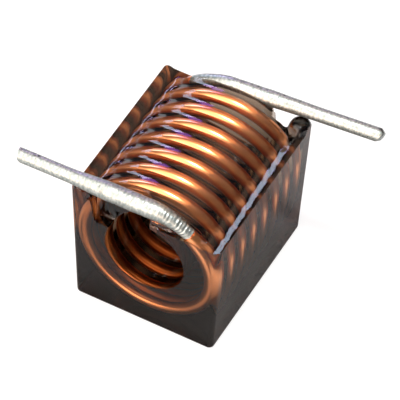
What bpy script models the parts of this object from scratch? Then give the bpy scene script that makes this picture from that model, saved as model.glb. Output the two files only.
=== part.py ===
"""Air-core surface mount inductor.

One enamelled copper wire is wound into an open coil. Its ends leave along opposite sides as two
straight tinned leads. The coil is cast into a dark resin block in a tapered open mould, so the top
turns stand out of the resin and the block carries a corner post under each lead. The top of each
end wall is notched, and at the rear a web of resin fills the notch between the lead and the coil.

Metres, +Z up. X runs along the leads and Y along the coil's axis. The block stands on its flat
pick-up face at z = 0 with its solder side up, and the origin is the middle of that face.
"""

import math

import bpy
import numpy as np

MM = 0.001

# Wire and coil
COPPER_DIAMETER = 0.34 * MM
ENAMEL_THICKNESS = 0.025 * MM
COIL_INSIDE_DIAMETER = 3.27 * MM
TURNS = 8
PITCH = 0.585 * MM
FRONT_LEAD_REACH = 3.68 * MM
REAR_LEAD_REACH = 4.02 * MM
FRONT_LEAD_YAW = math.radians(1.0)
REAR_LEAD_YAW = math.radians(5.0)

# Tin coats on the bared ends of the wire
TIN_TIP_THICKNESS = 0.014 * MM
FRONT_TIN_ROOT_THICKNESS = 0.080 * MM
REAR_TIN_ROOT_THICKNESS = 0.045 * MM
TIN_END_THICKNESS = 0.030 * MM
TIN_ARC = math.radians(40.0)
TIN_ARC_TAPER = math.radians(30.0)
TIN_FLAT_START = 2.30 * MM
TIN_THICK_START = 1.00 * MM

# Resin block
BASE_UNDER_COIL = 0.465 * MM
SIDE_SKIN = 0.045 * MM
END_SKIN = 0.075 * MM
RIM_ABOVE_AXIS = 1.42 * MM
SIDE_DRAFT = math.radians(2.1)
END_DRAFT = math.radians(1.1)
CORNER_RADIUS = 0.14 * MM
BASE_EDGE_RADIUS = 0.09 * MM
BORE_DIAMETER = 2.26 * MM
BORE_RISE = 0.12 * MM

# Free resin surface on the solder side
MENISCUS_DEPTH = 0.13 * MM
MENISCUS_REACH = 0.10 * MM
FILL_ABOVE_WIRE_AXIS = 0.09 * MM
FILL_ABOVE_WIRE_AXIS_AT_SIDE = 0.225 * MM
FILL_CLOSING = 1.42 * MM
FILL_FILLET = 0.12 * MM
FILL_EDGE = 0.16 * MM
FILL_BESIDE_TURN = 0.32 * MM
REAR_WEB_END = 1.12 * MM
REAR_WEB_EDGE = 0.14 * MM
NOTCH_ABOVE_AXIS = 0.62 * MM
NOTCH_OUTER = 1.58 * MM
NOTCH_INNER = 0.42 * MM
NOTCH_EDGE = 0.18 * MM
NOTCH_BESIDE_TURN = 0.29 * MM
NOTCH_BESIDE_LEAD = 0.19 * MM
POST_RADIUS = 0.30 * MM
POST_INSET = 0.25 * MM
POST_SADDLE = 0.03 * MM

# Clearance between pieces that are cast or coated on one another
FIT_GAP = 0.004 * MM

# Fineness of the facets
WIRE_SIDES = 10
STEPS_PER_TURN = 28
LEAD_STEPS = 7
BORE_SIDES = 40
CORNER_STEPS = 4
EDGE_STEPS = 3
CUT_OVERRUN = 0.4 * MM
SURFACE_EDGE_ZONE = 1.20 * MM
SURFACE_END_ZONE = 0.92 * MM
SURFACE_FINE = 0.095 * MM
SURFACE_COARSE = 0.20 * MM
SURFACE_LONG = 0.85 * MM
SMOOTH_ANGLE = math.radians(40.0)
SAME_PLACE = 1e-6 * MM
SAME_STEP = 1e-6

COPPER_RADIUS = COPPER_DIAMETER / 2
WIRE_RADIUS = COPPER_RADIUS + ENAMEL_THICKNESS
COIL_RADIUS = COIL_INSIDE_DIAMETER / 2 + WIRE_RADIUS
AXIS_HEIGHT = BASE_UNDER_COIL + WIRE_RADIUS + COIL_RADIUS
COIL_HALF_LENGTH = TURNS * PITCH / 2
LEAD_HEIGHT = AXIS_HEIGHT + COIL_RADIUS
RIM_HEIGHT = AXIS_HEIGHT + RIM_ABOVE_AXIS
FULL_TURN = 2 * math.pi


def clear_scene():
    for old in list(bpy.data.objects):
        bpy.data.objects.remove(old, do_unlink=True)


def make_material(name, colour, roughness, metallic):
    material = bpy.data.materials.new(name)
    material.use_nodes = True
    shader = material.node_tree.nodes["Principled BSDF"]
    shader.inputs["Base Color"].default_value = (*colour, 1.0)
    shader.inputs["Roughness"].default_value = roughness
    shader.inputs["Metallic"].default_value = metallic
    return material


def make_object(name, points, faces, material=None, smooth_angle=None):
    mesh = bpy.data.meshes.new(name)
    mesh.from_pydata([tuple(point) for point in points], [], faces)
    mesh.update()
    if smooth_angle is not None:
        mesh.shade_smooth()
        mesh.set_sharp_from_angle(angle=smooth_angle)
    if material is not None:
        mesh.materials.append(material)
    thing = bpy.data.objects.new(name, mesh)
    bpy.context.scene.collection.objects.link(thing)
    return thing


def make_cutter(name, points, faces):
    cutter = make_object(name, points, faces)
    cutter.hide_render = True
    cutter.display_type = "WIRE"
    return cutter


def cut(target, cutter):
    modifier = target.modifiers.new(cutter.name, "BOOLEAN")
    modifier.operation = "DIFFERENCE"
    modifier.solver = "EXACT"
    modifier.object = cutter


def half_width(height):
    """Distance from the middle of the block to its long side wall at a height."""
    return COIL_RADIUS + WIRE_RADIUS + SIDE_SKIN + (height - AXIS_HEIGHT) * math.tan(SIDE_DRAFT)


def half_length(height):
    """Distance from the middle of the block to its end wall at a height.

    The end turn passes the side wall a quarter turn in, and there the end wall covers it by END_SKIN.
    """
    covered = COIL_HALF_LENGTH - PITCH / 4 + WIRE_RADIUS + END_SKIN
    return covered + (height - AXIS_HEIGHT) * math.tan(END_DRAFT)


# Wire


def coil_point(angle):
    """A point on the wire's centre line, with angle 0 at the top of the front end turn."""
    return np.array(
        (
            COIL_RADIUS * math.sin(angle),
            PITCH * angle / FULL_TURN - COIL_HALF_LENGTH,
            AXIS_HEIGHT + COIL_RADIUS * math.cos(angle),
        )
    )


def coil_outward(angle):
    return np.array((math.sin(angle), 0.0, math.cos(angle)))


def lead_places():
    """Distances from the coil's axis at which a lead has a section, from the coil to its cut end."""
    return np.linspace(0.0, TIN_FLAT_START, LEAD_STEPS)[1:]


def front_lead_sections():
    """Centres and outward directions along the front lead, from its cut end to the coil."""
    start = coil_point(0.0)
    along = np.array((-math.cos(FRONT_LEAD_YAW), -math.sin(FRONT_LEAD_YAW), 0.0))
    places = [FRONT_LEAD_REACH, *reversed(lead_places())]
    return [(start + along * place, coil_outward(0.0), place) for place in places]


def rear_lead_sections():
    """Centres and outward directions along the rear lead, from the coil to its cut end."""
    start = coil_point(TURNS * FULL_TURN)
    along = np.array((math.cos(REAR_LEAD_YAW), math.sin(REAR_LEAD_YAW), 0.0))
    places = [*lead_places(), REAR_LEAD_REACH]
    return [(start + along * place, coil_outward(0.0), place) for place in places]


def coil_angles(first, last):
    """Angles of the coil's sections between two angles, both included, on one common spacing."""
    step = FULL_TURN / STEPS_PER_TURN
    low = math.floor(first / step + SAME_STEP) + 1
    high = math.ceil(last / step - SAME_STEP) - 1
    return [first, *(index * step for index in range(low, high + 1)), last]


def coil_sections(first, last):
    return [(coil_point(angle), coil_outward(angle)) for angle in coil_angles(first, last)]


def section_ring(centre, outward, tangent, radius):
    """The corners of the wire's cross-section, with one flat facet facing outward."""
    sideways = np.cross(tangent, outward)
    ring = []
    for index in range(WIRE_SIDES):
        turn = FULL_TURN * (index + 0.5) / WIRE_SIDES
        ring.append(centre + radius * (math.cos(turn) * outward + math.sin(turn) * sideways))
    return ring


def tangents_of(centres):
    """Directions along a centre line. A repeated centre takes the direction of its neighbours."""
    tangents = []
    for index in range(len(centres)):
        before = index
        while before > 0 and np.allclose(centres[before], centres[index], atol=SAME_PLACE):
            before -= 1
        after = index
        while after < len(centres) - 1 and np.allclose(centres[after], centres[index], atol=SAME_PLACE):
            after += 1
        direction = centres[after] - centres[before]
        tangents.append(direction / np.linalg.norm(direction))
    return tangents


def swept_rings(sections, radii):
    centres = [section[0] for section in sections]
    tangents = tangents_of(centres)
    rings = []
    for (centre, outward), tangent, radius in zip(sections, tangents, radii):
        rings.append(section_ring(centre, outward, tangent, radius))
    return rings


def tube_faces(count, offset=0, inward=False):
    """Side faces between count rings that start at a point index."""
    faces = []
    for row in range(count - 1):
        for side in range(WIRE_SIDES):
            near = offset + row * WIRE_SIDES + side
            near_next = offset + row * WIRE_SIDES + (side + 1) % WIRE_SIDES
            face = (near, near_next, near_next + WIRE_SIDES, near + WIRE_SIDES)
            faces.append(face[::-1] if inward else face)
    return faces


def solid_tube(sections, radii):
    """Points and faces of a closed round bar that follows the sections."""
    rings = swept_rings(sections, radii)
    points = [point for ring in rings for point in ring]
    faces = tube_faces(len(rings))
    last = (len(rings) - 1) * WIRE_SIDES
    faces.append(tuple(reversed(range(WIRE_SIDES))))
    faces.append(tuple(range(last, last + WIRE_SIDES)))
    return points, faces


def sleeve(sections, outer_radii, inner_radii):
    """Points and faces of an open-ended sleeve that follows the sections."""
    outer = swept_rings(sections, outer_radii)
    inner = swept_rings(sections, inner_radii)
    count = len(outer)
    offset = count * WIRE_SIDES
    points = [point for ring in outer + inner for point in ring]
    faces = tube_faces(count) + tube_faces(count, offset, inward=True)
    for side in range(WIRE_SIDES):
        after = (side + 1) % WIRE_SIDES
        far = (count - 1) * WIRE_SIDES
        faces.append((after, side, offset + side, offset + after))
        faces.append((far + side, far + after, offset + far + after, offset + far + side))
    return points, faces


def smoothstep(value):
    limited = min(max(value, 0.0), 1.0)
    return limited * limited * (3 - 2 * limited)


def tin_thickness_on_lead(place, root_thickness):
    """The coat is thin and even at the cut end and thicker near the coil."""
    share = smoothstep((TIN_FLAT_START - place) / (TIN_FLAT_START - TIN_THICK_START))
    return TIN_TIP_THICKNESS + (root_thickness - TIN_TIP_THICKNESS) * share


def tin_thickness_on_arc(angle, root_thickness):
    """Past the lead the coat thins out along the end turn until it stops at the enamel."""
    share = smoothstep(angle / TIN_ARC_TAPER)
    return root_thickness + (TIN_END_THICKNESS - root_thickness) * share


def tin_run(lead_sections, root_thickness, from_front):
    """Sections and coat thicknesses of one tinned end, from the cut end to the enamel."""
    sections = []
    thicknesses = []
    for centre, outward, place in lead_sections:
        sections.append((centre, outward))
        thicknesses.append(tin_thickness_on_lead(place, root_thickness))
    for angle in coil_angles(0.0, TIN_ARC):
        turned = angle if from_front else TURNS * FULL_TURN - angle
        sections.append((coil_point(turned), coil_outward(turned)))
        thicknesses.append(tin_thickness_on_arc(angle, root_thickness))
    return sections, thicknesses


def front_tin_run():
    return tin_run(front_lead_sections(), FRONT_TIN_ROOT_THICKNESS, from_front=True)


def rear_tin_run():
    return tin_run(list(reversed(rear_lead_sections())), REAR_TIN_ROOT_THICKNESS, from_front=False)


def enamelled_sections():
    return coil_sections(TIN_ARC, TURNS * FULL_TURN - TIN_ARC)


def make_winding(material):
    """The whole wire: bare copper under the tin, enamelled over the rest of the coil."""
    front = front_tin_run()[0]
    middle = enamelled_sections()
    rear = list(reversed(rear_tin_run()[0]))
    radii = [COPPER_RADIUS] * len(front) + [WIRE_RADIUS] * len(middle) + [COPPER_RADIUS] * len(rear)
    points, faces = solid_tube(front + middle + rear, radii)
    return make_object("copper_winding", points, faces, material, SMOOTH_ANGLE)


def make_tin_coat(name, run, material):
    """A coat over one bared end. It stops one clearance short of the enamel's step."""
    sections, thicknesses = run
    last_centre, last_outward = sections[-1]
    before_centre = sections[-2][0]
    back = before_centre - last_centre
    sections = sections[:-1] + [(last_centre + back / np.linalg.norm(back) * FIT_GAP, last_outward)]
    inner = [COPPER_RADIUS + FIT_GAP] * len(sections)
    outer = [radius + thickness for radius, thickness in zip(inner, thicknesses)]
    points, faces = sleeve(sections, outer, inner)
    return make_object(name, points, faces, material, SMOOTH_ANGLE)


# Resin block


def rounded_outline(half_x, half_y, radius, height):
    """A rectangle with round corners, anticlockwise seen from above."""
    points = []
    for quarter, (sign_x, sign_y) in enumerate(((1, 1), (-1, 1), (-1, -1), (1, -1))):
        for step in range(CORNER_STEPS + 1):
            turn = (quarter + step / CORNER_STEPS) * math.pi / 2
            points.append(
                (
                    sign_x * (half_x - radius) + radius * math.cos(turn),
                    sign_y * (half_y - radius) + radius * math.sin(turn),
                    height,
                )
            )
    return points


def block_outline(height, inset=0.0):
    half_x = half_width(height) - inset
    half_y = half_length(height) - inset
    return rounded_outline(half_x, half_y, CORNER_RADIUS - inset / 2, height)


def make_block(material):
    """The drafted casting before its free surface, bore and winding are cut out of it."""
    rings = []
    for step in range(EDGE_STEPS + 1):
        turn = step / EDGE_STEPS * math.pi / 2
        height = BASE_EDGE_RADIUS * (1 - math.cos(turn))
        rings.append(block_outline(height, BASE_EDGE_RADIUS * (1 - math.sin(turn))))
    rings.append(block_outline(LEAD_HEIGHT + WIRE_RADIUS))
    count = len(rings[0])
    points = [point for ring in rings for point in ring]
    faces = [tuple(reversed(range(count)))]
    for row in range(len(rings) - 1):
        for side in range(count):
            near = row * count + side
            near_next = row * count + (side + 1) % count
            faces.append((near, near_next, near_next + count, near + count))
    faces.append(tuple(range((len(rings) - 1) * count, len(rings) * count)))
    return make_object("resin_body", points, faces, material, SMOOTH_ANGLE)


def smooth_max(first, second, blend):
    overlap = max(blend - abs(first - second), 0.0) / blend
    return max(first, second) + overlap * overlap * blend / 4


def open_beside_lead(x, at_rear):
    """Share of the way from the resin that reaches the lead to the open gap on the lead's side."""
    if at_rear:
        return smoothstep((-REAR_WEB_END - x) / REAR_WEB_EDGE + 0.5)
    return smoothstep((NOTCH_EDGE - x) / (2 * NOTCH_EDGE))


def turn_line(x, share):
    """Place along the coil's axis of its end turn's top half, or of the next turn's for a share of 1."""
    angle = math.asin(min(max(x / COIL_RADIUS, -1.0), 1.0))
    return PITCH * (angle / FULL_TURN + share) - COIL_HALF_LENGTH


def fill_height(x):
    """Height of the resin over the coil, which leaves the turns bare on top and covers them at the sides."""
    share = min(abs(x) / FILL_CLOSING, 1.0) ** 2
    rise = FILL_ABOVE_WIRE_AXIS + (FILL_ABOVE_WIRE_AXIS_AT_SIDE - FILL_ABOVE_WIRE_AXIS) * share
    return AXIS_HEIGHT + math.sqrt(max((COIL_RADIUS + rise) ** 2 - x**2, 0.0))


def free_surface(x, y):
    """Height of the resin's free surface. The rear half is the front half turned half a turn.

    The resin over the coil begins at the end turn. On the lead's side it begins a turn later, and a
    notch from the end wall reaches in that far. At the rear that is only so beyond the web.
    """
    at_rear = y > 0
    if at_rear:
        x, y = -x, -y
    from_wall = max(half_width(RIM_HEIGHT) - abs(x), 0.0)
    side = RIM_HEIGHT - MENISCUS_DEPTH * (1 - math.exp(-from_wall / MENISCUS_REACH))
    filled = smooth_max(side, fill_height(x), FILL_FILLET)
    open_share = open_beside_lead(x, at_rear)
    line = turn_line(max(x, -COIL_RADIUS * open_share), open_share)
    fill = smoothstep((y - line + FILL_BESIDE_TURN * open_share) / FILL_EDGE + 0.5)
    height = side + (filled - side) * fill
    across = smoothstep((x + NOTCH_OUTER) / NOTCH_EDGE) * smoothstep((NOTCH_INNER - x) / NOTCH_EDGE)
    beside = NOTCH_BESIDE_LEAD + (NOTCH_BESIDE_TURN - NOTCH_BESIDE_LEAD) * open_share
    along = 1 - smoothstep((y - line + beside) / FILL_EDGE + 0.5)
    height -= (height - AXIS_HEIGHT - NOTCH_ABOVE_AXIS) * across * along
    post_top = LEAD_HEIGHT - WIRE_RADIUS + POST_SADDLE
    post_x = POST_INSET - half_width(RIM_HEIGHT)
    post_y = POST_INSET - half_length(RIM_HEIGHT)
    reach = math.hypot(x - post_x, y - post_y) / POST_RADIUS
    if reach < 1:
        height = max(height, side + (post_top - side) * math.sqrt(1 - reach**4))
    return height


def spaced(first, last, spacing):
    return np.linspace(first, last, max(round((last - first) / spacing), 1) + 1)


def grid_lines(edge, fine_depth, fine, coarse):
    """Grid places from -edge to edge, finer within fine_depth of each end."""
    inner = edge - fine_depth
    lines = [*spaced(-edge, -inner, fine), *spaced(-inner, inner, coarse)[1:-1], *spaced(inner, edge, fine)]
    return [-edge - CUT_OVERRUN, *lines, edge + CUT_OVERRUN]


def make_surface_cutter():
    """Everything above the free surface, as one closed solid with the surface as its underside."""
    width = half_width(LEAD_HEIGHT)
    length = half_length(LEAD_HEIGHT)
    xs = grid_lines(width, SURFACE_EDGE_ZONE, SURFACE_FINE, SURFACE_COARSE)
    ys = grid_lines(length, SURFACE_END_ZONE, SURFACE_FINE, SURFACE_LONG)
    top = LEAD_HEIGHT + WIRE_RADIUS + CUT_OVERRUN
    columns = len(xs)
    rows = len(ys)
    points = []
    for y in ys:
        for x in xs:
            inside_x = min(max(x, -width), width)
            inside_y = min(max(y, -length), length)
            points.append((x, y, free_surface(inside_x, inside_y)))
    faces = []
    for row in range(rows - 1):
        for column in range(columns - 1):
            near = row * columns + column
            faces.append((near, near + columns, near + columns + 1, near + 1))
    border = list(range(columns))
    border += [row * columns + columns - 1 for row in range(1, rows)]
    border += [(rows - 1) * columns + column for column in range(columns - 2, -1, -1)]
    border += [row * columns for row in range(rows - 2, 0, -1)]
    lid = len(points)
    points += [(points[index][0], points[index][1], top) for index in border]
    count = len(border)
    for index in range(count):
        after = (index + 1) % count
        faces.append((border[index], border[after], lid + after, lid + index))
    faces.append(tuple(range(lid, lid + count)))
    return make_cutter("free_surface_cutter", points, faces)


def make_bore_cutter():
    """The round core of the mould, which leaves the hollow through the coil."""
    reach = half_length(LEAD_HEIGHT) + CUT_OVERRUN
    height = AXIS_HEIGHT + BORE_RISE
    points = []
    for y in (-reach, reach):
        for step in range(BORE_SIDES):
            turn = FULL_TURN * step / BORE_SIDES
            points.append(
                (BORE_DIAMETER / 2 * math.cos(turn), y, height + BORE_DIAMETER / 2 * math.sin(turn))
            )
    faces = [tuple(range(BORE_SIDES)), tuple(reversed(range(BORE_SIDES, 2 * BORE_SIDES)))]
    for side in range(BORE_SIDES):
        after = (side + 1) % BORE_SIDES
        faces.append((after, side, side + BORE_SIDES, after + BORE_SIDES))
    return make_cutter("bore_cutter", points, faces)


def make_seat_cutter():
    """The wire with its coats and one clearance, which leaves the winding's seat in the resin."""
    front, front_coat = front_tin_run()
    rear, rear_coat = rear_tin_run()
    middle = enamelled_sections()
    tinned = COPPER_RADIUS + 2 * FIT_GAP
    radii = [tinned + thickness for thickness in front_coat]
    radii += [WIRE_RADIUS + FIT_GAP] * len(middle)
    radii += [tinned + thickness for thickness in reversed(rear_coat)]
    points, faces = solid_tube(front + middle + list(reversed(rear)), radii)
    return make_cutter("seat_cutter", points, faces)


def make_resin(material):
    block = make_block(material)
    cut(block, make_surface_cutter())
    cut(block, make_bore_cutter())
    cut(block, make_seat_cutter())
    return block


def main():
    clear_scene()
    resin = make_material("resin", (0.035, 0.028, 0.027), 0.08, 0.0)
    copper = make_material("enamelled_copper", (0.72, 0.30, 0.12), 0.22, 1.0)
    tin = make_material("tinned_surface", (0.78, 0.78, 0.76), 0.38, 1.0)
    make_resin(resin)
    make_winding(copper)
    make_tin_coat("tin_coat_front", front_tin_run(), tin)
    make_tin_coat("tin_coat_rear", rear_tin_run(), tin)


main()
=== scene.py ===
"""Looks of the air-core surface mount inductor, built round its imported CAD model.

The part is a dark, see-through resin block cast round a bright enamelled copper coil, with two tinned
leads. Each CAD node is replaced by a finer mesh in the same place.
"""

import math

import bpy
import numpy as np
from mathutils import Matrix, Vector


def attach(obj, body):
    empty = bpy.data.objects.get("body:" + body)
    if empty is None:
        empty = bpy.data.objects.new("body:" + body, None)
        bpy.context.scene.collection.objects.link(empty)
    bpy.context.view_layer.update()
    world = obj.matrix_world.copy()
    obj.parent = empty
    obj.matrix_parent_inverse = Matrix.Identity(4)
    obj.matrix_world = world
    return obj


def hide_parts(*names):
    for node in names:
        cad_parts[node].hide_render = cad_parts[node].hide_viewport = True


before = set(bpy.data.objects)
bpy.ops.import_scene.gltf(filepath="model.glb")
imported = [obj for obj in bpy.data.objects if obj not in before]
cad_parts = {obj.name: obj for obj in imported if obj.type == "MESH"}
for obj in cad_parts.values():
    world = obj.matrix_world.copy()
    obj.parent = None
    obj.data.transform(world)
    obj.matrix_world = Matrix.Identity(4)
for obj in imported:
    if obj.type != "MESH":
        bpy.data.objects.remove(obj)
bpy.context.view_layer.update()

MM = 0.001
FULL_TURN = 2 * math.pi

# Wire and coil, as in the CAD model
COPPER_RADIUS = 0.170 * MM
WIRE_RADIUS = 0.195 * MM
COIL_RADIUS = 1.83 * MM
AXIS_HEIGHT = 2.49 * MM
TURNS = 8
PITCH = 0.585 * MM
COIL_HALF_LENGTH = TURNS * PITCH / 2
LEAD_HEIGHT = AXIS_HEIGHT + COIL_RADIUS
FRONT_LEAD_REACH = 3.68 * MM
REAR_LEAD_REACH = 4.02 * MM
FRONT_LEAD_YAW = math.radians(1.0)
REAR_LEAD_YAW = math.radians(5.0)

# Tin coats, as in the CAD model: how far each reaches onto its end turn, its thickness at the cut end,
# near the coil and where it stops, the distances from the coil's middle between which it thickens, and
# its clearance to the copper
TIN_ARC = math.radians(40.0)
TIN_ARC_TAPER = math.radians(30.0)
TIN_TIP_THICKNESS = 0.014 * MM
FRONT_TIN_ROOT_THICKNESS = 0.080 * MM
REAR_TIN_ROOT_THICKNESS = 0.045 * MM
TIN_END_THICKNESS = 0.030 * MM
TIN_FLAT_START = 2.30 * MM
TIN_THICK_START = 1.00 * MM
FIT_GAP = 0.004 * MM

# Resin block, bore, rear web, notches and posts, as in the CAD model
RIM_HEIGHT = 3.91 * MM
SIDE_DRAFT = math.radians(2.1)
END_DRAFT = math.radians(1.1)
SIDE_SKIN = 0.045 * MM
END_SKIN = 0.075 * MM
CORNER_RADIUS = 0.14 * MM
BASE_EDGE_RADIUS = 0.09 * MM
BORE_RADIUS = 1.13 * MM
BORE_HEIGHT = AXIS_HEIGHT + 0.12 * MM
FILL_EDGE = 0.16 * MM
FILL_BESIDE_TURN = 0.32 * MM
FILL_CLOSING = 1.42 * MM
REAR_WEB_END = 1.12 * MM
REAR_WEB_EDGE = 0.14 * MM
NOTCH_ABOVE_AXIS = 0.62 * MM
NOTCH_OUTER = 1.58 * MM
NOTCH_INNER = 0.42 * MM
NOTCH_EDGE = 0.18 * MM
NOTCH_BESIDE_TURN = 0.29 * MM
NOTCH_BESIDE_LEAD = 0.19 * MM
POST_RADIUS = 0.30 * MM
POST_INSET = 0.25 * MM
POST_SADDLE = 0.03 * MM
POST_FLATNESS = 4

# Climb of the resin to the long walls, wider and shallower than in the CAD model: its depth and width,
# the roundness of its ends as a share of its width, the ledge at the rim, and the nicks along it
MENISCUS_DEPTH = 0.078 * MM
MENISCUS_WIDTH = 0.20 * MM
MENISCUS_ROUNDNESS = 0.12
LEDGE_AT_LEAD = 0.20 * MM
LEDGE_AT_END_TURN = 0.01 * MM
NICK_DEPTH = 0.014 * MM
NICK_LENGTH = 0.42 * MM
NICK_SEED = 1.0

# Resin over the coil, up to 0.06 mm higher than in the CAD model: height of its skin above the wire's
# axis on each turn and between turns, in the middle and at the sides, where it covers the turns
FILL_ON_TURN = 0.150 * MM
FILL_ON_TURN_AT_SIDE = 0.265 * MM
FILL_BETWEEN = 0.115 * MM
FILL_BETWEEN_AT_SIDE = 0.240 * MM
FILL_FILLET = 0.18 * MM

# Cut ends of the leads: the direction across the wire to its upper rear edge, how much shorter the wire is
# from its lower front edge (-1) to that edge (1), the length over which its sections lean that way, and the
# radii of the rings that close the end, as shares of the wire's
ACROSS_WIRE = (0.0, 0.79, 0.613)
FRONT_TIP_DROPS = (
    (-1.0, 0.15 * MM),
    (-0.75, 0.08 * MM),
    (0.0, 0.055 * MM),
    (1.0, 0.02 * MM),
)
REAR_TIP_DROPS = (
    (-1.0, 0.20 * MM),
    (-0.6, 0.09 * MM),
    (0.0, 0.04 * MM),
    (0.5, 0.02 * MM),
    (1.0, 0.12 * MM),
)
TIP_ZONE = 0.60 * MM
CAP_SHARES = (0.02, 0.2, 0.4, 0.6, 0.8, 0.94)

# Dents in the tin: crumpled tin on the front end turn, cross scratches and broad lumps, each with its
# greatest depth and the distance between its crests
WRINKLE_START = math.radians(9.0)
WRINKLE_DEPTH = 0.030 * MM
WRINKLE_LENGTH = 0.088 * MM
SCRATCH_DEPTH = 0.005 * MM
SCRATCH_LENGTH = 0.075 * MM
LUMP_DEPTH = 0.009 * MM
LUMP_LENGTH = 9 * SCRATCH_LENGTH
LUMP_BENDS = 2.0
DEEPEST_DENT_SHARE = 0.8
FRONT_SEED = 1.0
REAR_SEED = 2.0

# Ragged end of the tin on the end turns: its depth as a share of the tin's length there, and the angle
# round the wire between its points
TIN_RAG = 0.06
TIN_RAG_ANGLE = 2.0

# Sine waves that add up to irregular ripples. Each has a strength, a number of crests for one of the first
# wave, how far its crests bend round the wire and how often, and how much of the seed shifts its bends and
# its crests.
RIPPLES = (
    (1.0, 1.0, 0.5, 2.3, 1, 1),
    (0.7, 0.617, 0.9, 1.7, 2, 3),
    (0.4, 1.731, 1.3, 3.1, 0, 5),
)

# Dark pits in the tin: distance from the coil's middle, angle in degrees from the top towards the front,
# radius and darkness. The core is the share of the radius that is fully dark. The last, wide entry of the
# rear list is no pit but painted shade on the rear lead's cut end.
PIT_AND_SHADE_CORE = 0.35
FRONT_PITS = (
    (3.10 * MM, -16.0, 0.055 * MM, 0.85),
    (3.19 * MM, -4.0, 0.045 * MM, 0.55),
    (3.24 * MM, -24.0, 0.050 * MM, 0.55),
    (3.14 * MM, 22.0, 0.030 * MM, 0.60),
    (3.27 * MM, 16.0, 0.030 * MM, 0.45),
    (2.93 * MM, -28.0, 0.050 * MM, 0.45),
    (1.22 * MM, 62.0, 0.050 * MM, 0.40),
    (1.30 * MM, 30.0, 0.040 * MM, 0.30),
    (0.62 * MM, 20.0, 0.030 * MM, 0.30),
)
REAR_PITS_AND_CUT_END_SHADE = (
    (0.55 * MM, -24.0, 0.040 * MM, 0.60),
    (0.80 * MM, -22.0, 0.030 * MM, 0.40),
    (1.26 * MM, -20.0, 0.045 * MM, 0.75),
    (1.42 * MM, 40.0, 0.040 * MM, 0.50),
    (1.16 * MM, 20.0, 0.035 * MM, 0.40),
    (2.36 * MM, -24.0, 0.035 * MM, 0.40),
    (2.50 * MM, 20.0, 0.030 * MM, 0.30),
    (3.30 * MM, 98.0, 0.035 * MM, 0.60),
    (3.42 * MM, 90.0, 0.030 * MM, 0.55),
    (3.55 * MM, 94.0, 0.030 * MM, 0.50),
    (3.70 * MM, 84.0, 0.035 * MM, 0.60),
    (3.80 * MM, 70.0, 0.025 * MM, 0.60),
    # Painted shade: darkens the rear lead's cut end, which lies in shadow
    (4.12 * MM, -5.0, 0.280 * MM, 0.97),
)

# Fineness of the meshes, and the angles from which an edge is sharp
WIRE_SIDES = 28
STEPS_PER_TURN = 110
ARC_STEP = COIL_RADIUS * FULL_TURN / STEPS_PER_TURN
LEAD_STEP = 0.035 * MM
TIN_SIDES = 44
TIN_STEP = 0.016 * MM
SURFACE_STEP = 0.034 * MM
BORE_SIDES = 120
CORNER_STEPS = 10
EDGE_STEPS = 6
CUT_OVERRUN = 0.4 * MM
HAIR = 1e-5 * MM
WIRE_SHARP_ANGLE = math.radians(50.0)
TIN_SHARP_ANGLE = math.radians(36.0)
RESIN_SHARP_ANGLE = math.radians(32.0)

# Resin: clear at its faces, with what its inside absorbs per metre
RESIN_TINT = (1.0, 0.97, 0.95)
RESIN_ROUGHNESS = 0.06
RESIN_IOR = 1.5
RESIN_INSIDE = (0.655, 0.56, 0.44)
RESIN_DENSITY = 3000.0

# Copper and the clear enamel over it
COPPER_COLOUR = (1.0, 0.39, 0.14)
COPPER_METALLIC = 0.95
COPPER_ROUGHNESS = 0.28
ENAMEL_ROUGHNESS = 0.14
ENAMEL_IOR = 1.5

# Tin: two pale colours that mottle it, the grey of its rubbed spots, and the colour of its pits and of the
# painted shade on the rear lead's cut end. A grain is a number of specks per millimetre along the wire and
# per turn round it, and a range is the part of the noise over which one colour fades into the next.
TIN_COOL = (0.30, 0.36, 0.355)
TIN_WARM = (0.50, 0.55, 0.53)
TIN_GREY = (0.28, 0.28, 0.27)
PIT_AND_SHADE_COLOUR = (0.010, 0.011, 0.007)
TIN_METALLIC = 0.85
TIN_ROUGHNESS = 0.40
MOTTLE_GRAIN = (15.0, 12.0)
MOTTLE_RANGE = (0.35, 0.65)
RUBBED_GRAIN = (22.0, 3.0)
RUBBED_RANGE = (0.56, 0.78)
RUBBED_STRENGTH = 0.6
NOISE_DETAIL = 3.0
WIRE_UV = "wire"
PIT_AND_SHADE_ATTRIBUTE = "pit_and_shade"

# Floor: the grey that lights and shadows fall on, and the glow that is added to it to look white. Metal
# and resin show the glow of the far floor in full and none of it under and beside the object, as painted
# shade.
FLOOR_SIZE = 1.2
FLOOR_DROP = 0.004 * MM
FLOOR_GREY = 0.24
FLOOR_GLOW = 0.82
FLOOR_NEAR = 2.5 * MM
FLOOR_FAR = 12 * MM

# Surroundings: a dim room with large soft lights. Each has an azimuth from +X towards +Y and an elevation,
# the angles from its middle at which it starts to fade and ends, and a colour. Four stand before the object
# and to its left, and the last is a weak warm one behind it.
ROOM = (0.10, 0.10, 0.11)
SOFT_LIGHTS = (
    (-92.0, 40.0, 10.0, 28.0, (1.6, 1.4, 1.3)),
    (-100.0, 10.0, 12.0, 26.0, (6.0, 4.4, 3.6)),
    (-135.0, 30.0, 8.0, 28.0, (3.2, 2.7, 2.3)),
    (-130.0, 68.0, 18.0, 36.0, (2.5, 2.15, 1.9)),
    (82.0, 52.0, 8.0, 31.0, (1.1, 0.68, 0.45)),
)

# Lamps: name, direction from the coil's middle, size, brightness and colour. The key lamp gives the
# crescents their glints. The resin mirrors the violet one between the turns and the blue one along its
# right wall.
LAMPS = (
    ("key", (0.085, 0.0, 1.0), (12 * MM, 16 * MM), 80.0, (1.0, 1.0, 1.0)),
    ("violet", (-0.52, 0.73, 0.43), (30 * MM, 20 * MM), 3.2, (0.62, 0.20, 1.0)),
    ("blue", (-0.68, 0.586, 0.44), (44 * MM, 19 * MM), 4.8, (0.70, 0.80, 1.0)),
)
LAMP_DISTANCE = 100 * MM
# A rectangular lamp's energy is its brightness times its area times this
LAMP_ENERGY = 4.0

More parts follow.
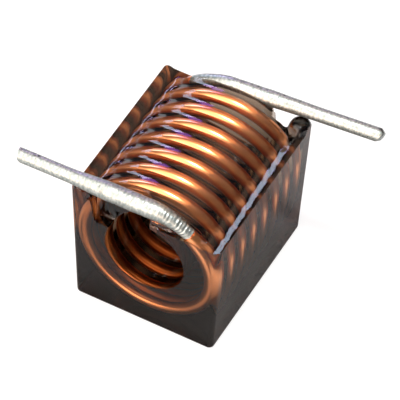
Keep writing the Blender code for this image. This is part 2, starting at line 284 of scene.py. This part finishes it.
# Camera, fitted to the photograph: azimuth, elevation and roll, and pixels of the 400 pixel wide image
CAMERA_AZIMUTH = math.radians(26.62)
CAMERA_ELEVATION = math.radians(49.03)
CAMERA_ROLL = math.radians(2.55)
CAMERA_DISTANCE = 105.0 * MM
CAMERA_NEAREST = 1.0 * MM
CAMERA_FARTHEST = 10.0
IMAGE_SIZE = 400
PIXELS_PER_MM = 39.264
BODY_CENTRE_PIXEL = (190.53, 208.14)
SENSOR_WIDTH = 36.0

# How often light passes through or off the resin before it is given up
MAX_BOUNCES = 20
TRANSMISSION_BOUNCES = 16
GLOSSY_BOUNCES = 8


# Shapes that several pieces share


def smoothstep(value):
    limited = np.clip(value, 0.0, 1.0)
    return limited * limited * (3 - 2 * limited)


def waves(along, turns, length, seed):
    """Irregular ripples along a wire or an edge, between -1 and 1."""
    phase = FULL_TURN * along / length
    ripple = 0.0
    for strength, crests, bend, bends, bend_shift, crest_shift in RIPPLES:
        bent = bend * np.sin(bends * turns + bend_shift * seed)
        ripple = ripple + strength * np.sin(crests * phase + bent + crest_shift * seed)
    return ripple / sum(entry[0] for entry in RIPPLES)


def tube_faces(rings, sides):
    """Faces of a closed tube of rings, with its two ends."""
    faces = []
    for row in range(rings - 1):
        for side in range(sides):
            near = row * sides + side
            near_next = row * sides + (side + 1) % sides
            faces.append((near, near_next, near_next + sides, near + sides))
    last = (rings - 1) * sides
    faces.append(tuple(reversed(range(sides))))
    faces.append(tuple(range(last, last + sides)))
    return faces


def make_mesh_object(name, points, faces, material=None, sharp_angle=None):
    mesh = bpy.data.meshes.new(name)
    mesh.from_pydata([tuple(point) for point in points], [], faces)
    mesh.update()
    if sharp_angle is not None:
        mesh.shade_smooth()
        mesh.set_sharp_from_angle(angle=sharp_angle)
    if material is not None:
        mesh.materials.append(material)
    thing = bpy.data.objects.new(name, mesh)
    bpy.context.scene.collection.objects.link(thing)
    return thing


def finish_piece(piece, node):
    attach(piece, "root")
    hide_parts(node)


# Paths along the wire


def coil_points(angles):
    """Points on the wire's centre line, with angle 0 at the top of the front end turn."""
    return np.stack(
        (
            COIL_RADIUS * np.sin(angles),
            PITCH * angles / FULL_TURN - COIL_HALF_LENGTH,
            AXIS_HEIGHT + COIL_RADIUS * np.cos(angles),
        ),
        axis=1,
    )


def coil_outward(angles):
    return np.stack((np.sin(angles), np.zeros_like(angles), np.cos(angles)), axis=1)


def lead_path(front, reach, step):
    """Centres, outward directions and distances along a straight lead, from its cut end to the coil."""
    yaw = FRONT_LEAD_YAW if front else REAR_LEAD_YAW
    sign = -1.0 if front else 1.0
    start = coil_points(np.array([0.0 if front else TURNS * FULL_TURN]))[0]
    along = sign * np.array((math.cos(yaw), math.sin(yaw), 0.0))
    places = np.linspace(reach, 0.0, max(int(reach / step), 2))[:-1]
    centres = start + along * places[:, None]
    return centres, np.tile((0.0, 0.0, 1.0), (len(places), 1)), places


def arc_path(front, step):
    """Centres, outward directions and angles along an end turn, from the coil's top to the tin's end."""
    count = max(int(TIN_ARC * COIL_RADIUS / step), 2)
    angles = np.linspace(0.0, TIN_ARC, count)
    turned = angles if front else TURNS * FULL_TURN - angles
    return coil_points(turned), coil_outward(turned), angles


def side_angles(sides):
    """Angles of the sides of a section, from its underside round, with 0 facing outward."""
    return FULL_TURN * np.arange(sides) / sides - math.pi


def spokes_round(centres, outward, sides):
    """Directions along a path and from its centre line to the corners of its sections."""
    tangents = np.gradient(centres, axis=0)
    tangents /= np.linalg.norm(tangents, axis=1)[:, None]
    sideways = np.cross(tangents, outward)
    turns = side_angles(sides)[None, :, None]
    return tangents, np.cos(turns) * outward[:, None, :] + np.sin(turns) * sideways[:, None, :]


def sweep_points(centres, outward, radii, shifts):
    """Points round a path, for radii and for shifts along it that have a row for each ring."""
    sides = shifts.shape[1]
    tangents, spokes = spokes_round(centres, outward, sides)
    points = centres[:, None, :] + np.broadcast_to(radii, shifts.shape)[:, :, None] * spokes
    points = points + shifts[:, :, None] * tangents[:, None, :]
    return points.reshape(-1, 3)


def tip_drops(front, spokes, shares):
    """How much shorter the cut end is at each corner of its sections."""
    places, drops = zip(*(FRONT_TIP_DROPS if front else REAR_TIP_DROPS))
    across = (spokes @ np.array(ACROSS_WIRE)) * shares[:, None]
    return np.interp(across, places, drops)


def lead_with_tip(front, reach, step, sides, cover):
    """Centres, outward directions, distances, radius shares and shifts along a lead with its shaped end.

    The first rings close the cut end, which lies cover deeper than the end of the tin.
    """
    centres, outward, places = lead_path(front, reach, step)
    caps = len(CAP_SHARES)
    spokes = spokes_round(centres, outward, sides)[1]
    shares = np.concatenate((CAP_SHARES, np.ones(len(places))))
    spokes = np.concatenate((np.repeat(spokes[:1], caps, axis=0), spokes))
    near_tip = np.clip(1 - (reach - places) / TIP_ZONE, 0.0, 1.0)
    near_tip = np.concatenate((np.ones(caps), near_tip))[:, None]
    shifts = (tip_drops(front, spokes, shares) + cover) * near_tip
    # The cap's rings keep a hair of distance, so that the path's direction stays defined
    away = centres[0] - centres[1]
    hair = away / np.linalg.norm(away) * HAIR
    lead_in = centres[0] + hair * np.arange(caps, 0, -1)[:, None]
    centres = np.concatenate((lead_in, centres))
    outward = np.concatenate((np.repeat(outward[:1], caps, axis=0), outward))
    places = np.concatenate((np.full(caps, places[0]), places))
    return centres, outward, places, shares, shifts


# Materials


def new_material(name):
    material = bpy.data.materials.new(name)
    material.use_nodes = True
    return material, material.node_tree.nodes["Principled BSDF"]


def resin_material():
    """Dark smoky casting resin: clear at its faces, red-brown where thin and black in depth."""
    material, shader = new_material("smoky_resin")
    tree = material.node_tree
    shader.inputs["Base Color"].default_value = (*RESIN_TINT, 1.0)
    shader.inputs["Roughness"].default_value = RESIN_ROUGHNESS
    shader.inputs["IOR"].default_value = RESIN_IOR
    shader.inputs["Transmission Weight"].default_value = 1.0
    absorption = tree.nodes.new("ShaderNodeVolumeAbsorption")
    absorption.inputs["Color"].default_value = (*RESIN_INSIDE, 1.0)
    absorption.inputs["Density"].default_value = RESIN_DENSITY
    tree.links.new(absorption.outputs["Volume"], tree.nodes["Material Output"].inputs["Volume"])
    return material


def copper_material():
    material, shader = new_material("copper_under_enamel")
    shader.inputs["Base Color"].default_value = (*COPPER_COLOUR, 1.0)
    shader.inputs["Metallic"].default_value = COPPER_METALLIC
    shader.inputs["Roughness"].default_value = COPPER_ROUGHNESS
    shader.inputs["Coat Weight"].default_value = 1.0
    shader.inputs["Coat Roughness"].default_value = ENAMEL_ROUGHNESS
    shader.inputs["Coat IOR"].default_value = ENAMEL_IOR
    return material


def operation_node(tree, kind, operation, values):
    """A node that works on sockets or plain values."""
    node = tree.nodes.new(kind)
    node.operation = operation
    for index, value in enumerate(values):
        if isinstance(value, (float, tuple)):
            node.inputs[index].default_value = value
        else:
            tree.links.new(value, node.inputs[index])
    return node


def math_node(tree, operation, *values):
    return operation_node(tree, "ShaderNodeMath", operation, values).outputs["Value"]


def vector_math(tree, operation, *values):
    return operation_node(tree, "ShaderNodeVectorMath", operation, values)


def mix_colours(tree, factor, first, second):
    """A mix of two colours, each a socket or a plain colour."""
    node = tree.nodes.new("ShaderNodeMix")
    node.data_type = "RGBA"
    tree.links.new(factor, node.inputs["Factor"])
    for name, value in (("A", first), ("B", second)):
        socket = [entry for entry in node.inputs if entry.name == name and entry.type == "RGBA"][0]
        if isinstance(value, tuple):
            socket.default_value = (*value, 1.0)
        else:
            tree.links.new(value, socket)
    return [entry for entry in node.outputs if entry.type == "RGBA"][0]


def ramp_between(tree, value, low, high):
    """0 below low and 1 above high, smooth between."""
    node = tree.nodes.new("ShaderNodeMapRange")
    node.interpolation_type = "SMOOTHSTEP"
    node.inputs["From Min"].default_value = low
    node.inputs["From Max"].default_value = high
    tree.links.new(value, node.inputs["Value"])
    return node.outputs["Result"]


def wire_noise(tree, grain, fade):
    """Specks on the wire's surface, from 0 to 1."""
    uv = tree.nodes.new("ShaderNodeUVMap")
    uv.uv_map = WIRE_UV
    stretch = vector_math(tree, "MULTIPLY", uv.outputs["UV"], (*grain, 1.0))
    noise = tree.nodes.new("ShaderNodeTexNoise")
    noise.noise_dimensions = "2D"
    noise.inputs["Scale"].default_value = 1.0
    noise.inputs["Detail"].default_value = NOISE_DETAIL
    tree.links.new(stretch.outputs["Vector"], noise.inputs["Vector"])
    return ramp_between(tree, noise.outputs["Fac"], *fade)


def tin_material():
    """Pale solder with faint mottling, rubbed grey spots, dark pitting and painted shade on the rear lead's
    cut end.
    """
    material, shader = new_material("solder_coat")
    tree = material.node_tree
    shader.inputs["Metallic"].default_value = TIN_METALLIC
    shader.inputs["Roughness"].default_value = TIN_ROUGHNESS
    mottled = mix_colours(tree, wire_noise(tree, MOTTLE_GRAIN, MOTTLE_RANGE), TIN_COOL, TIN_WARM)
    rubbed = math_node(tree, "MULTIPLY", wire_noise(tree, RUBBED_GRAIN, RUBBED_RANGE), RUBBED_STRENGTH)
    rubbed = mix_colours(tree, rubbed, mottled, TIN_GREY)
    # This attribute darkens the pits and paints shade on the rear lead's cut end
    pits_and_shade = tree.nodes.new("ShaderNodeAttribute")
    pits_and_shade.attribute_name = PIT_AND_SHADE_ATTRIBUTE
    colour = mix_colours(tree, pits_and_shade.outputs["Fac"], rubbed, PIT_AND_SHADE_COLOUR)
    tree.links.new(colour, shader.inputs["Base Color"])
    return material


# Winding and tin coats


def bare_end(front, reach):
    """Centres, outward directions, radii and shifts of a bare end, from its cut end to the enamel."""
    lead = lead_with_tip(front, reach, LEAD_STEP, WIRE_SIDES, TIN_TIP_THICKNESS)
    centres, outward, places, shares, shifts = lead
    arc_centres, arc_outward, angles = arc_path(front, ARC_STEP)
    centres = np.concatenate((centres, arc_centres))
    outward = np.concatenate((outward, arc_outward))
    radii = COPPER_RADIUS * np.concatenate((shares, np.ones(len(angles))))
    shifts = np.concatenate((shifts, np.zeros((len(angles), WIRE_SIDES))))
    return centres, outward, radii, shifts


def make_winding(material):
    """The whole wire: bare copper under the tin, enamelled over the rest of the coil."""
    front_end = bare_end(True, FRONT_LEAD_REACH)
    angles = np.linspace(TIN_ARC, TURNS * FULL_TURN - TIN_ARC, TURNS * STEPS_PER_TURN)
    # The enamel's ends lie a hair inside the copper's, so that the step between them is a flat ring
    angles[0] += HAIR / COIL_RADIUS
    angles[-1] -= HAIR / COIL_RADIUS
    radii = np.full(len(angles), WIRE_RADIUS)
    coil = (coil_points(angles), coil_outward(angles), radii, np.zeros((len(angles), WIRE_SIDES)))
    # The rear end is built from its cut end too, so it is turned round to follow the coil
    centres, outward, radii, shifts = bare_end(False, REAR_LEAD_REACH)
    turned_shifts = -np.roll(shifts[::-1, ::-1], 1, axis=1)
    rear_end = (centres[::-1], outward[::-1], radii[::-1], turned_shifts)
    centres, outward, radii, shifts = (np.concatenate(rows) for rows in zip(front_end, coil, rear_end))
    points = sweep_points(centres, outward, radii[:, None], shifts)
    faces = tube_faces(len(centres), WIRE_SIDES)
    piece = make_mesh_object("winding", points, faces, material, WIRE_SHARP_ANGLE)
    finish_piece(piece, "copper_winding")


def pit_and_shade_darkness(places, turns, pits_and_shade):
    """How dark the tin is at each corner, from a list of dark spots: pitting, and painted shade on the rear
    lead's cut end.
    """
    dark = np.zeros(np.broadcast_shapes(places.shape, turns.shape))
    for place, degrees, radius, strength in pits_and_shade:
        around = COPPER_RADIUS * np.angle(np.exp(1j * (turns - math.radians(degrees))))
        distance = np.hypot(places - place, around)
        fade = smoothstep((distance / radius - PIT_AND_SHADE_CORE) / (1 - PIT_AND_SHADE_CORE))
        dark = np.maximum(dark, strength * (1 - fade))
    return dark


def dents(depth, along, turns, length, seed):
    """Irregular dents across the wire, from 0 to a greatest depth."""
    return depth * (waves(along, turns, length, seed) + 1) / 2


def tin_radii(front, places, turns, on_arc, root_thickness, seed):
    """Outer radii of a tin coat with its dents, with a row for each ring."""
    share = smoothstep((TIN_FLAT_START - places) / (TIN_FLAT_START - TIN_THICK_START))
    thickness = TIN_TIP_THICKNESS + (root_thickness - TIN_TIP_THICKNESS) * share
    thickness = thickness + (TIN_END_THICKNESS - root_thickness) * smoothstep(on_arc / TIN_ARC_TAPER)
    depth = dents(LUMP_DEPTH * share, places, LUMP_BENDS * turns, LUMP_LENGTH, seed)
    depth = depth + dents(SCRATCH_DEPTH * share, places, turns, SCRATCH_LENGTH, seed)
    if front:
        crumpled = smoothstep((on_arc - WRINKLE_START) / (TIN_ARC - WRINKLE_START))
        depth = depth + dents(WRINKLE_DEPTH * crumpled, places, turns, WRINKLE_LENGTH, seed)
    return COPPER_RADIUS + FIT_GAP + thickness - np.minimum(depth, DEEPEST_DENT_SHARE * thickness)


def add_wire_map(piece, along, sides):
    """Texture places on a swept wire: millimetres along it and turns round it."""
    layer = piece.data.uv_layers.new(name=WIRE_UV)
    quads = (len(along) - 1) * sides
    row = np.arange(quads) // sides
    side = np.arange(quads) % sides
    u = np.stack((along[row], along[row], along[row + 1], along[row + 1]), axis=1) / MM
    v = np.stack((side, side + 1, side + 1, side), axis=1) / sides
    corners = np.zeros((len(piece.data.loops), 2))
    corners[: 4 * quads, 0] = u.reshape(-1)
    corners[: 4 * quads, 1] = v.reshape(-1)
    layer.data.foreach_set("uv", corners.reshape(-1))


def make_tin_coat(name, node, front, reach, root_thickness, material):
    centres, outward, places, shares, shifts = lead_with_tip(front, reach, TIN_STEP, TIN_SIDES, 0.0)
    arc_centres, arc_outward, arc_angles = arc_path(front, TIN_STEP)
    seed = FRONT_SEED if front else REAR_SEED
    turns = side_angles(TIN_SIDES)[None, :]
    # Distances from the coil's middle go on below zero round the end turn
    places = np.concatenate((places, -COIL_RADIUS * arc_angles))[:, None]
    on_arc = np.maximum(-places / COIL_RADIUS, 0.0)
    shares = np.concatenate((shares, np.ones(len(arc_angles))))[:, None]
    radii = tin_radii(front, places, turns, on_arc, root_thickness, seed) * shares
    ragged = dents(TIN_RAG * COIL_RADIUS * arc_angles[:, None], turns, 0.0, TIN_RAG_ANGLE, seed)
    shifts = np.concatenate((shifts, -ragged))
    centres = np.concatenate((centres, arc_centres))
    outward = np.concatenate((outward, arc_outward))
    points = sweep_points(centres, outward, radii, shifts)
    faces = tube_faces(len(centres), TIN_SIDES)
    piece = make_mesh_object(name, points, faces, material, TIN_SHARP_ANGLE)
    add_wire_map(piece, places[:, 0], TIN_SIDES)
    toward_front = turns if front else -turns
    # Pits, and on the rear lead the painted shade on its cut end
    pits_and_shade = pit_and_shade_darkness(places, toward_front, FRONT_PITS if front else REAR_PITS_AND_CUT_END_SHADE)
    values = piece.data.attributes.new(PIT_AND_SHADE_ATTRIBUTE, "FLOAT", "POINT")
    values.data.foreach_set("value", pits_and_shade.reshape(-1))
    finish_piece(piece, node)


# Resin block


def half_width(height):
    return COIL_RADIUS + WIRE_RADIUS + SIDE_SKIN + (height - AXIS_HEIGHT) * math.tan(SIDE_DRAFT)


def half_length(height):
    covered = COIL_HALF_LENGTH - PITCH / 4 + WIRE_RADIUS + END_SKIN
    return covered + (height - AXIS_HEIGHT) * math.tan(END_DRAFT)


def block_outline(height, inset):
    """The block's rectangle with round corners at a height, anticlockwise seen from above."""
    half_x = half_width(height) - inset
    half_y = half_length(height) - inset
    radius = CORNER_RADIUS - inset / 2
    points = []
    for quarter, (sign_x, sign_y) in enumerate(((1, 1), (-1, 1), (-1, -1), (1, -1))):
        for step in range(CORNER_STEPS + 1):
            turn = (quarter + step / CORNER_STEPS) * math.pi / 2
            x = sign_x * (half_x - radius) + radius * math.cos(turn)
            y = sign_y * (half_y - radius) + radius * math.sin(turn)
            points.append((x, y, height))
    return points


def make_block():
    """The drafted block before its free surface and bore are cut."""
    rings = []
    for step in range(EDGE_STEPS + 1):
        turn = step / EDGE_STEPS * math.pi / 2
        height = BASE_EDGE_RADIUS * (1 - math.cos(turn))
        inset = BASE_EDGE_RADIUS * (1 - math.sin(turn))
        rings.append(block_outline(height, inset))
    rings.append(block_outline(LEAD_HEIGHT + WIRE_RADIUS, 0.0))
    points = [point for ring in rings for point in ring]
    return points, tube_faces(len(rings), len(rings[0]))


def smooth_max(first, second, blend):
    overlap = np.maximum(blend - np.abs(first - second), 0.0) / blend
    return np.maximum(first, second) + overlap * overlap * blend / 4


def soft_ramp(value):
    """A straight ramp from 0 to 1 with rounded ends."""
    soft = MENISCUS_ROUNDNESS
    rounded = (np.sqrt(value**2 + soft**2) - np.sqrt((value - 1) ** 2 + soft**2) + 1) / 2
    return np.clip(rounded, 0.0, 1.0)


def climb_height(x, y):
    """Height of the resin beside the coil: a ledge along each long wall, and a slope down from it.

    The ledge is wider near the lead that crosses its wall: at the rear on the right, in front on the left.
    """
    rim_x = half_width(RIM_HEIGHT)
    rim_y = half_length(RIM_HEIGHT)
    toward_lead = np.where(x > 0, rim_y + y, rim_y - y) / (2 * rim_y)
    ledge = LEDGE_AT_END_TURN + (LEDGE_AT_LEAD - LEDGE_AT_END_TURN) * np.clip(toward_lead, 0.0, 1.0)
    ledge = ledge + NICK_DEPTH * waves(y, 0.0, NICK_LENGTH, NICK_SEED)
    from_wall = np.maximum(rim_x - np.abs(x), 0.0)
    return RIM_HEIGHT - MENISCUS_DEPTH * soft_ramp((from_wall - ledge) / MENISCUS_WIDTH)


def open_beside_lead(x, at_rear):
    """Share of the way from the resin that reaches the lead to the open gap on the lead's side."""
    rear = smoothstep((-REAR_WEB_END - x) / REAR_WEB_EDGE + 0.5)
    front = smoothstep((NOTCH_EDGE - x) / (2 * NOTCH_EDGE))
    return np.where(at_rear, rear, front)


def turn_line(x, share):
    """Place along the coil's axis of its end turn's top half, or of the next turn's for a share of 1."""
    return PITCH * (np.arcsin(np.clip(x / COIL_RADIUS, -1.0, 1.0)) / FULL_TURN + share) - COIL_HALF_LENGTH


def fill_height(x, y):
    """Height of the resin over the coil, with a shallow valley between every two turns."""
    passed = (y - turn_line(x, 0)) / PITCH
    between = smoothstep(2 * np.abs(passed - np.round(passed)))
    share = np.minimum(np.abs(x) / FILL_CLOSING, 1.0) ** 2
    crest = FILL_ON_TURN + (FILL_ON_TURN_AT_SIDE - FILL_ON_TURN) * share
    valley = FILL_BETWEEN + (FILL_BETWEEN_AT_SIDE - FILL_BETWEEN) * share
    radius = COIL_RADIUS + crest + (valley - crest) * between
    return AXIS_HEIGHT + np.sqrt(np.maximum(radius**2 - x**2, 0.0))


def cut_notch(height, x, past_turn, open_share):
    """The height lowered to the notch's floor between the end wall and the end turn."""
    across = smoothstep((x + NOTCH_OUTER) / NOTCH_EDGE) * smoothstep((NOTCH_INNER - x) / NOTCH_EDGE)
    beside = NOTCH_BESIDE_LEAD + (NOTCH_BESIDE_TURN - NOTCH_BESIDE_LEAD) * open_share
    along = 1 - smoothstep((past_turn + beside) / FILL_EDGE + 0.5)
    return height - (height - AXIS_HEIGHT - NOTCH_ABOVE_AXIS) * across * along


def add_post(height, x, y, climb):
    """The height raised to the round post under the lead."""
    from_post = np.hypot(x - POST_INSET + half_width(RIM_HEIGHT), y - POST_INSET + half_length(RIM_HEIGHT))
    reach = from_post / POST_RADIUS
    post_top = LEAD_HEIGHT - WIRE_RADIUS + POST_SADDLE
    dome = climb + (post_top - climb) * np.sqrt(np.maximum(1 - reach**POST_FLATNESS, 0.0))
    return np.where(reach < 1, np.maximum(height, dome), height)


def free_surface(x, y):
    """Height of the resin's free surface.

    The rear half is the front half turned half a turn, apart from the nicks and the rear web.
    """
    climb = climb_height(x, y)
    at_rear = y > 0
    flip = np.where(at_rear, -1.0, 1.0)
    x = x * flip
    y = y * flip
    filled = smooth_max(climb, fill_height(x, y), FILL_FILLET)
    open_share = open_beside_lead(x, at_rear)
    past_turn = y - turn_line(np.maximum(x, -COIL_RADIUS * open_share), open_share)
    fill = smoothstep((past_turn + FILL_BESIDE_TURN * open_share) / FILL_EDGE + 0.5)
    height = climb + (filled - climb) * fill
    height = cut_notch(height, x, past_turn, open_share)
    return add_post(height, x, y, climb)


def grid_border(columns, rows):
    border = list(range(columns))
    border += [row * columns + columns - 1 for row in range(1, rows)]
    border += [(rows - 1) * columns + column for column in range(columns - 2, -1, -1)]
    border += [row * columns for row in range(rows - 2, 0, -1)]
    return border


def grid_places(half_size):
    """Even places across the block, with one more beyond each side for the cut."""
    inside = np.linspace(-half_size, half_size, round(2 * half_size / SURFACE_STEP) + 1)
    return np.concatenate(([-half_size - CUT_OVERRUN], inside, [half_size + CUT_OVERRUN]))


def make_surface_cutter():
    """All that lies above the free surface."""
    width = half_width(LEAD_HEIGHT)
    length = half_length(LEAD_HEIGHT)
    xs = grid_places(width)
    ys = grid_places(length)
    grid_x, grid_y = np.meshgrid(xs, ys)
    heights = free_surface(np.clip(grid_x, -width, width), np.clip(grid_y, -length, length))
    points = np.stack((grid_x, grid_y, heights), axis=2).reshape(-1, 3).tolist()
    columns = len(xs)
    rows = len(ys)
    faces = []
    for row in range(rows - 1):
        for column in range(columns - 1):
            near = row * columns + column
            faces.append((near, near + columns, near + columns + 1, near + 1))
    border = grid_border(columns, rows)
    lid = len(points)
    top = LEAD_HEIGHT + WIRE_RADIUS + CUT_OVERRUN
    points += [(points[index][0], points[index][1], top) for index in border]
    count = len(border)
    for index in range(count):
        after = (index + 1) % count
        faces.append((border[index], border[after], lid + after, lid + index))
    faces.append(tuple(range(lid, lid + count)))
    return points, faces


def make_bore_cutter():
    reach = half_length(LEAD_HEIGHT) + CUT_OVERRUN
    points = []
    for y in (reach, -reach):
        for step in range(BORE_SIDES):
            turn = FULL_TURN * step / BORE_SIDES
            points.append((BORE_RADIUS * math.cos(turn), y, BORE_HEIGHT + BORE_RADIUS * math.sin(turn)))
    return points, tube_faces(2, BORE_SIDES)


def cut_away(block, name, shape):
    cutter = make_mesh_object(name, *shape)
    modifier = block.modifiers.new(name, "BOOLEAN")
    modifier.operation = "DIFFERENCE"
    modifier.solver = "EXACT"
    modifier.object = cutter
    graph = bpy.context.evaluated_depsgraph_get()
    mesh = bpy.data.meshes.new_from_object(block.evaluated_get(graph))
    block.modifiers.clear()
    block.data = mesh
    bpy.data.objects.remove(cutter)


def make_resin(material):
    block = make_mesh_object("resin_casting", *make_block(), material)
    cut_away(block, "surface", make_surface_cutter())
    cut_away(block, "bore", make_bore_cutter())
    block.data.shade_smooth()
    block.data.set_sharp_from_angle(angle=RESIN_SHARP_ANGLE)
    finish_piece(block, "resin_body")


# Stage


def make_floor():
    signs = ((-1, -1), (1, -1), (1, 1), (-1, 1))
    corners = [(x * FLOOR_SIZE, y * FLOOR_SIZE, -FLOOR_DROP) for x, y in signs]
    material, shader = new_material("floor")
    tree = material.node_tree
    tree.nodes.remove(shader)
    diffuse = tree.nodes.new("ShaderNodeBsdfDiffuse")
    diffuse.inputs["Color"].default_value = (FLOOR_GREY, FLOOR_GREY, FLOOR_GREY, 1.0)
    glow = tree.nodes.new("ShaderNodeEmission")
    glow.inputs["Color"].default_value = (1.0, 1.0, 1.0, 1.0)
    paths = tree.nodes.new("ShaderNodeLightPath").outputs
    place = tree.nodes.new("ShaderNodeNewGeometry").outputs["Position"]
    distance = vector_math(tree, "LENGTH", place).outputs["Value"]
    # Painted shade: the glow that metal and resin see fades out near the object
    far = ramp_between(tree, distance, FLOOR_NEAR, FLOOR_FAR)
    passed_on = math_node(tree, "MAXIMUM", paths["Is Glossy Ray"], paths["Is Transmission Ray"])
    share = math_node(tree, "MULTIPLY_ADD", passed_on, far, paths["Is Camera Ray"])
    tree.links.new(math_node(tree, "MULTIPLY", share, FLOOR_GLOW), glow.inputs["Strength"])
    add = tree.nodes.new("ShaderNodeAddShader")
    tree.links.new(diffuse.outputs[0], add.inputs[0])
    tree.links.new(glow.outputs[0], add.inputs[1])
    tree.links.new(add.outputs[0], tree.nodes["Material Output"].inputs["Surface"])
    floor = make_mesh_object("floor", corners, [(0, 1, 2, 3)], material)


def direction_of(azimuth, elevation):
    a = math.radians(azimuth)
    e = math.radians(elevation)
    return math.cos(a) * math.cos(e), math.sin(a) * math.cos(e), math.sin(e)


def make_world():
    world = bpy.data.worlds.new("studio")
    world.use_nodes = True
    tree = world.node_tree
    direction = tree.nodes.new("ShaderNodeTexCoord").outputs["Generated"]
    light = ROOM
    for azimuth, elevation, inner, outer, colour in SOFT_LIGHTS:
        middle = direction_of(azimuth, elevation)
        facing = vector_math(tree, "DOT_PRODUCT", direction, middle).outputs["Value"]
        share = ramp_between(tree, facing, math.cos(math.radians(outer)), math.cos(math.radians(inner)))
        patch = vector_math(tree, "SCALE", colour)
        tree.links.new(share, patch.inputs["Scale"])
        light = vector_math(tree, "ADD", patch.outputs["Vector"], light).outputs["Vector"]
    sky = tree.nodes["Background"]
    tree.links.new(light, sky.inputs["Color"])
    sky.inputs["Strength"].default_value = 1.0
    bpy.context.scene.world = world


def add_lamp(name, direction, size, radiance, colour):
    """A soft rectangular lamp, with its second side upright or, where it hangs overhead, along Y."""
    away = Vector(direction).normalized()
    lamp = bpy.data.lights.new(name, "AREA")
    lamp.shape = "RECTANGLE"
    lamp.size, lamp.size_y = size
    lamp.energy = radiance * LAMP_ENERGY * size[0] * size[1]
    lamp.color = colour
    thing = bpy.data.objects.new(name, lamp)
    bpy.context.scene.collection.objects.link(thing)
    thing.location = Vector((0, 0, AXIS_HEIGHT)) + away * LAMP_DISTANCE
    thing.rotation_mode = "QUATERNION"
    thing.rotation_quaternion = away.to_track_quat("Z", "Y")


def make_camera():
    a, e, roll = CAMERA_AZIMUTH, CAMERA_ELEVATION, CAMERA_ROLL
    back = Vector((math.sin(a) * math.cos(e), -math.cos(a) * math.cos(e), math.sin(e)))
    level = Vector((math.cos(a), math.sin(a), 0.0))
    upright = back.cross(level)
    right = math.cos(roll) * level + math.sin(roll) * upright
    up = -math.sin(roll) * level + math.cos(roll) * upright
    centre = Vector((0.0, 0.0, RIM_HEIGHT / 2))
    across = (IMAGE_SIZE / 2 - BODY_CENTRE_PIXEL[0]) / PIXELS_PER_MM * MM
    above = (BODY_CENTRE_PIXEL[1] - IMAGE_SIZE / 2) / PIXELS_PER_MM * MM
    aim = centre + right * across + up * above
    data = bpy.data.cameras.new("camera")
    data.sensor_width = SENSOR_WIDTH
    data.lens = SENSOR_WIDTH * PIXELS_PER_MM / MM * CAMERA_DISTANCE / IMAGE_SIZE
    data.clip_start = CAMERA_NEAREST
    data.clip_end = CAMERA_FARTHEST
    camera = bpy.data.objects.new("camera", data)
    bpy.context.scene.collection.objects.link(camera)
    rotation = Matrix((right, up, back)).transposed()
    camera.matrix_world = Matrix.Translation(aim + back * CAMERA_DISTANCE) @ rotation.to_4x4()
    bpy.context.scene.camera = camera


def main():
    make_camera()
    make_world()
    make_floor()
    for lamp in LAMPS:
        add_lamp(*lamp)
    tin = tin_material()
    make_resin(resin_material())
    make_winding(copper_material())
    make_tin_coat("tin_front", "tin_coat_front", True, FRONT_LEAD_REACH, FRONT_TIN_ROOT_THICKNESS, tin)
    make_tin_coat("tin_rear", "tin_coat_rear", False, REAR_LEAD_REACH, REAR_TIN_ROOT_THICKNESS, tin)
    scene = bpy.context.scene
    scene.view_settings.view_transform = "Standard"
    scene.cycles.use_denoising = True
    scene.cycles.max_bounces = MAX_BOUNCES
    scene.cycles.transmission_bounces = TRANSMISSION_BOUNCES
    scene.cycles.glossy_bounces = GLOSSY_BOUNCES


main()
